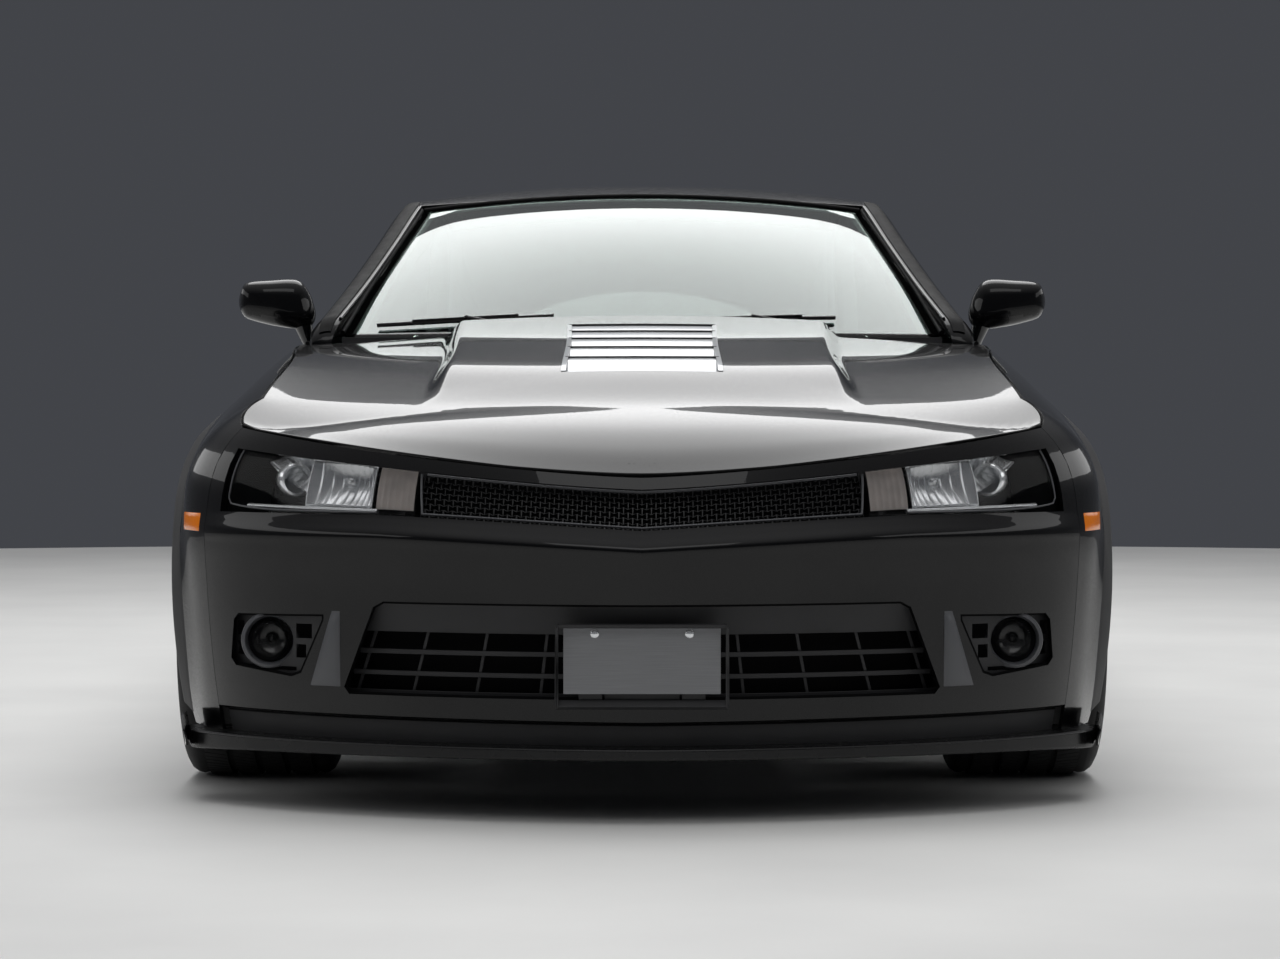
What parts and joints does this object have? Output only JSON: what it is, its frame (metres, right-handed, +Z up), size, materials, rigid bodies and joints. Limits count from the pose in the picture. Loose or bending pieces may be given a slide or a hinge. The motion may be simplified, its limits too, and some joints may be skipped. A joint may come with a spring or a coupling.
{
  "type": "muscle car",
  "caption": "Muscle-car coupe with hinged doors, bonnet and boot lid, steered front wheels, flared arches and a low front splitter.",
  "frame": {"origin": "middle of the footprint on the road", "axes": "nose towards -Y, the car's left towards +X, +Z up"},
  "size_m": [1.9534, 4.884, 1.3313],
  "materials": {
    "paint": "gloss black clear coat",
    "black_plastic": "matt grain",
    "lamp_glass": "clear lens over bright reflectors",
    "lamp_red": "clear red lens",
    "vent": "satin silver",
    "plate": "plain grey",
    "glass": "tinted",
    "steel": "satin black",
    "engine": "as cast",
    "wheel": "dark satin",
    "tyre": "rubber",
    "seat": "woven",
    "dash": "soft grain",
    "exhaust": "brushed"
  },
  "bodies": {
    "body": {"front_fascia": "paint", "fenders": "paint", "roof": "paint", "quarters": "paint", "rear_fascia": "paint", "sills": "paint", "splitter": "black_plastic", "upper_grille": "black_plastic", "lower_grille": "black_plastic", "fog_lamps": "black_plastic", "cowl": "black_plastic", "wheel_liners": "black_plastic", "rear_deck": "black_plastic", "headlamps": "lamp_glass", "tail_lamps": "lamp_red", "number_plate": "plate", "windshield": "glass", "quarter_windows": "glass", "rear_window": "glass", "body_hinges": "steel", "floor_pan": "steel", "bulkheads": "steel", "front_rails": "steel", "rear_frame": "steel", "front_arms": "steel", "rear_axle": "steel", "engine": "engine", "seats_front": "seat", "rear_bench": "seat", "dashboard": "dash", "exhaust": "exhaust"},
    "door_left": {"door_left": "paint", "door_glass_left": "glass", "mirror_left": "paint", "door_eyes_left": "steel"},
    "door_right": {"door_right": "paint", "door_glass_right": "glass", "mirror_right": "paint", "door_eyes_right": "steel"},
    "hood": {"hood": "paint", "hood_vent": "vent", "hood_arms": "steel"},
    "trunk": {"trunk_lid": "paint", "spoiler": "black_plastic", "trunk_arms": "steel"},
    "steer_left": {"knuckle_left": "steel"},
    "steer_right": {"knuckle_right": "steel"},
    "wheel_fl": {"wheel_fl": "wheel", "tyre_fl": "tyre"},
    "wheel_fr": {"wheel_fr": "wheel", "tyre_fr": "tyre"},
    "wheel_rl": {"wheel_rl": "wheel", "tyre_rl": "tyre"},
    "wheel_rr": {"wheel_rr": "wheel", "tyre_rr": "tyre"},
    "steering_wheel": {"steering_wheel": "dash"}
  },
  "joints": [
    {"name": "door_left_hinge", "type": "hinge", "parent": "body", "child": "door_left", "pos_m": [0.8965, -0.617, 0.515], "axis": [0, 0, -1], "range_deg": [0, 65]},
    {"name": "door_right_hinge", "type": "hinge", "parent": "body", "child": "door_right", "pos_m": [-0.8965, -0.617, 0.515], "axis": [0, 0, 1], "range_deg": [0, 65]},
    {"name": "hood_hinge", "type": "hinge", "parent": "body", "child": "hood", "pos_m": [0, -0.77, 0.848], "axis": [-1, 0, 0], "range_deg": [0, 55]},
    {"name": "trunk_hinge", "type": "hinge", "parent": "body", "child": "trunk", "pos_m": [0, 1.526, 0.938], "axis": [1, 0, 0], "range_deg": [0, 65]},
    {"name": "steer_left_turn", "type": "hinge", "parent": "body", "child": "steer_left", "pos_m": [0.768, -1.477, 0.333], "axis": [0, 0, 1], "range_deg": [-33, 33]},
    {"name": "steer_right_turn", "type": "hinge", "parent": "body", "child": "steer_right", "pos_m": [-0.768, -1.477, 0.333], "axis": [0, 0, 1], "range_deg": [-33, 33]},
    {"name": "steering_wheel_turn", "type": "hinge", "parent": "body", "child": "steering_wheel", "pos_m": [0.365, -0.192, 0.8], "axis": [0, 0.9135, 0.4067], "range_deg": [-465, 465]},
    {"name": "wheel_fl_spin", "type": "hinge", "parent": "steer_left", "child": "wheel_fl", "pos_m": [0.788, -1.477, 0.333], "axis": [1, 0, 0], "continuous": true},
    {"name": "wheel_fr_spin", "type": "hinge", "parent": "steer_right", "child": "wheel_fr", "pos_m": [-0.788, -1.477, 0.333], "axis": [1, 0, 0], "continuous": true},
    {"name": "wheel_rl_spin", "type": "hinge", "parent": "body", "child": "wheel_rl", "pos_m": [0.82, 1.375, 0.333], "axis": [1, 0, 0], "continuous": true},
    {"name": "wheel_rr_spin", "type": "hinge", "parent": "body", "child": "wheel_rr", "pos_m": [-0.82, 1.375, 0.333], "axis": [1, 0, 0], "continuous": true}
  ],
  "couplings": [
    {"joint": "steer_right_turn", "follows": "steer_left_turn", "ratio": 1},
    {"joint": "steering_wheel_turn", "follows": "steer_left_turn", "ratio": 14}
  ]
}
